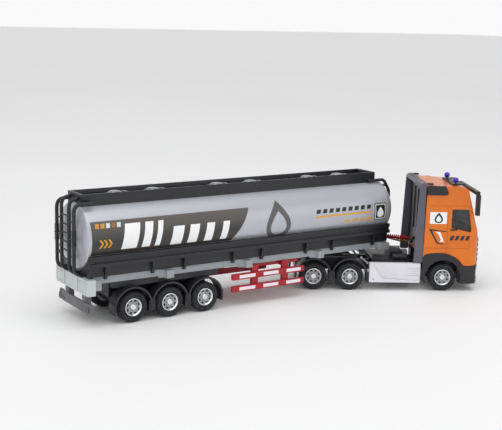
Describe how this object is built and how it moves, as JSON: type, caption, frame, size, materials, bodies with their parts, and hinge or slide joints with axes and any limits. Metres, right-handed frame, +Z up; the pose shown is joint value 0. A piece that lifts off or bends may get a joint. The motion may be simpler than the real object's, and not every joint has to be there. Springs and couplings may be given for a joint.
{
  "type": "toy articulated tanker truck",
  "caption": "Toy articulated tanker truck: orange tractor unit with a fifth wheel, coupled to a silver oval-tank semi-trailer; it turns at the kingpin and rolls on free axles.",
  "frame": {"origin": "at ground level under the middle of the posed vehicle's bounding box", "axes": "+X along the trailer towards its front, +Y to the trailer's left, +Z up; at rest the tractor is turned 30.08 degrees to the right about the kingpin"},
  "size_m": [0.3318, 0.1182, 0.0863],
  "materials": {
    "black_plastic": "satin black moulded plastic",
    "frame_grey": "satin grey moulded plastic",
    "tank_silver": "silver metallic lacquer on moulded plastic",
    "hatch_chrome": "bright plated plastic",
    "panel_grey": "satin pale grey moulded plastic",
    "bar_grey": "satin mid grey moulded plastic",
    "guard_red": "semi-gloss red moulded plastic",
    "hose_red": "glossy red coiled line",
    "hose_yellow": "glossy dull yellow coiled line",
    "skirt_white": "semi-gloss white moulded plastic",
    "cab_orange": "glossy orange enamel",
    "glazing": "clear smoked moulding",
    "lamp_lens": "clear moulding",
    "beacon_blue": "glossy blue-violet plastic",
    "fairing_grey": "satin dark grey plastic",
    "axle_steel": "bright drawn wire",
    "rim_chrome": "bright plated plastic",
    "tyre_rubber": "matt soft black"
  },
  "bodies": {
    "trailer": {"trailer_frame": "frame_grey", "tank_shell": "tank_silver", "tank_cradle": "black_plastic", "walkway_trough": "black_plastic", "hatch_strip": "hatch_chrome", "rear_ladder_cage": "black_plastic", "rear_light_panel": "panel_grey", "underrun_bar": "bar_grey", "trailer_bogie": "black_plastic", "side_guards": "guard_red", "air_line_red": "hose_red", "air_line_yellow": "hose_yellow"},
    "tractor": {"tractor_chassis": "black_plastic", "tractor_deck": "black_plastic", "fifth_wheel": "black_plastic", "drive_mudguard_left": "black_plastic", "drive_mudguard_right": "black_plastic", "side_skirt_left": "skirt_white", "side_skirt_right": "skirt_white", "cab_shell": "cab_orange", "cab_glazing": "glazing", "cab_interior": "black_plastic", "cab_lower_trim": "black_plastic", "headlamp_strip": "lamp_lens", "visor_with_mirrors": "black_plastic", "roof_light_bar": "black_plastic", "beacon_left": "beacon_blue", "beacon_right": "beacon_blue", "cab_fairing": "fairing_grey", "cab_back_panel": "black_plastic"},
    "trailer_axle_1": {"trailer_axle_1_shaft": "axle_steel", "trailer_axle_1_rim_left": "rim_chrome", "trailer_axle_1_rim_right": "rim_chrome", "trailer_axle_1_tyre_left": "tyre_rubber", "trailer_axle_1_tyre_right": "tyre_rubber"},
    "trailer_axle_2": {"trailer_axle_2_shaft": "axle_steel", "trailer_axle_2_rim_left": "rim_chrome", "trailer_axle_2_rim_right": "rim_chrome", "trailer_axle_2_tyre_left": "tyre_rubber", "trailer_axle_2_tyre_right": "tyre_rubber"},
    "trailer_axle_3": {"trailer_axle_3_shaft": "axle_steel", "trailer_axle_3_rim_left": "rim_chrome", "trailer_axle_3_rim_right": "rim_chrome", "trailer_axle_3_tyre_left": "tyre_rubber", "trailer_axle_3_tyre_right": "tyre_rubber"},
    "drive_axle_1": {"drive_axle_1_shaft": "axle_steel", "drive_axle_1_rim_left": "rim_chrome", "drive_axle_1_rim_right": "rim_chrome", "drive_axle_1_tyre_left": "tyre_rubber", "drive_axle_1_tyre_right": "tyre_rubber"},
    "drive_axle_2": {"drive_axle_2_shaft": "axle_steel", "drive_axle_2_rim_left": "rim_chrome", "drive_axle_2_rim_right": "rim_chrome", "drive_axle_2_tyre_left": "tyre_rubber", "drive_axle_2_tyre_right": "tyre_rubber"},
    "steer_axle": {"steer_axle_shaft": "axle_steel", "steer_axle_rim_left": "rim_chrome", "steer_axle_rim_right": "rim_chrome", "steer_axle_tyre_left": "tyre_rubber", "steer_axle_tyre_right": "tyre_rubber"}
  },
  "joints": [
    {"name": "coupling_turn", "type": "hinge", "parent": "trailer", "child": "tractor", "pos_m": [0.05727, 0.02167, 0.0284], "axis": [0, 0, 1], "range_deg": [-45, 105], "deforming": ["air_line_red", "air_line_yellow"]},
    {"name": "trailer_axle_1_spin", "type": "hinge", "parent": "trailer", "child": "trailer_axle_1", "pos_m": [-0.12713, 0.02167, 0.01041], "axis": [0, 1, 0], "continuous": true},
    {"name": "trailer_axle_2_spin", "type": "hinge", "parent": "trailer", "child": "trailer_axle_2", "pos_m": [-0.09933, 0.02167, 0.01041], "axis": [0, 1, 0], "continuous": true},
    {"name": "trailer_axle_3_spin", "type": "hinge", "parent": "trailer", "child": "trailer_axle_3", "pos_m": [-0.07153, 0.02167, 0.01041], "axis": [0, 1, 0], "continuous": true},
    {"name": "drive_axle_1_spin", "type": "hinge", "parent": "tractor", "child": "drive_axle_1", "pos_m": [0.04351, 0.02964, 0.01041], "axis": [0.5012, 0.8653, 0], "continuous": true},
    {"name": "drive_axle_2_spin", "type": "hinge", "parent": "tractor", "child": "drive_axle_2", "pos_m": [0.06757, 0.01571, 0.01041], "axis": [0.5012, 0.8653, 0], "continuous": true},
    {"name": "steer_axle_spin", "type": "hinge", "parent": "tractor", "child": "steer_axle", "pos_m": [0.12935, -0.02008, 0.01041], "axis": [0.5012, 0.8653, 0], "continuous": true}
  ]
}
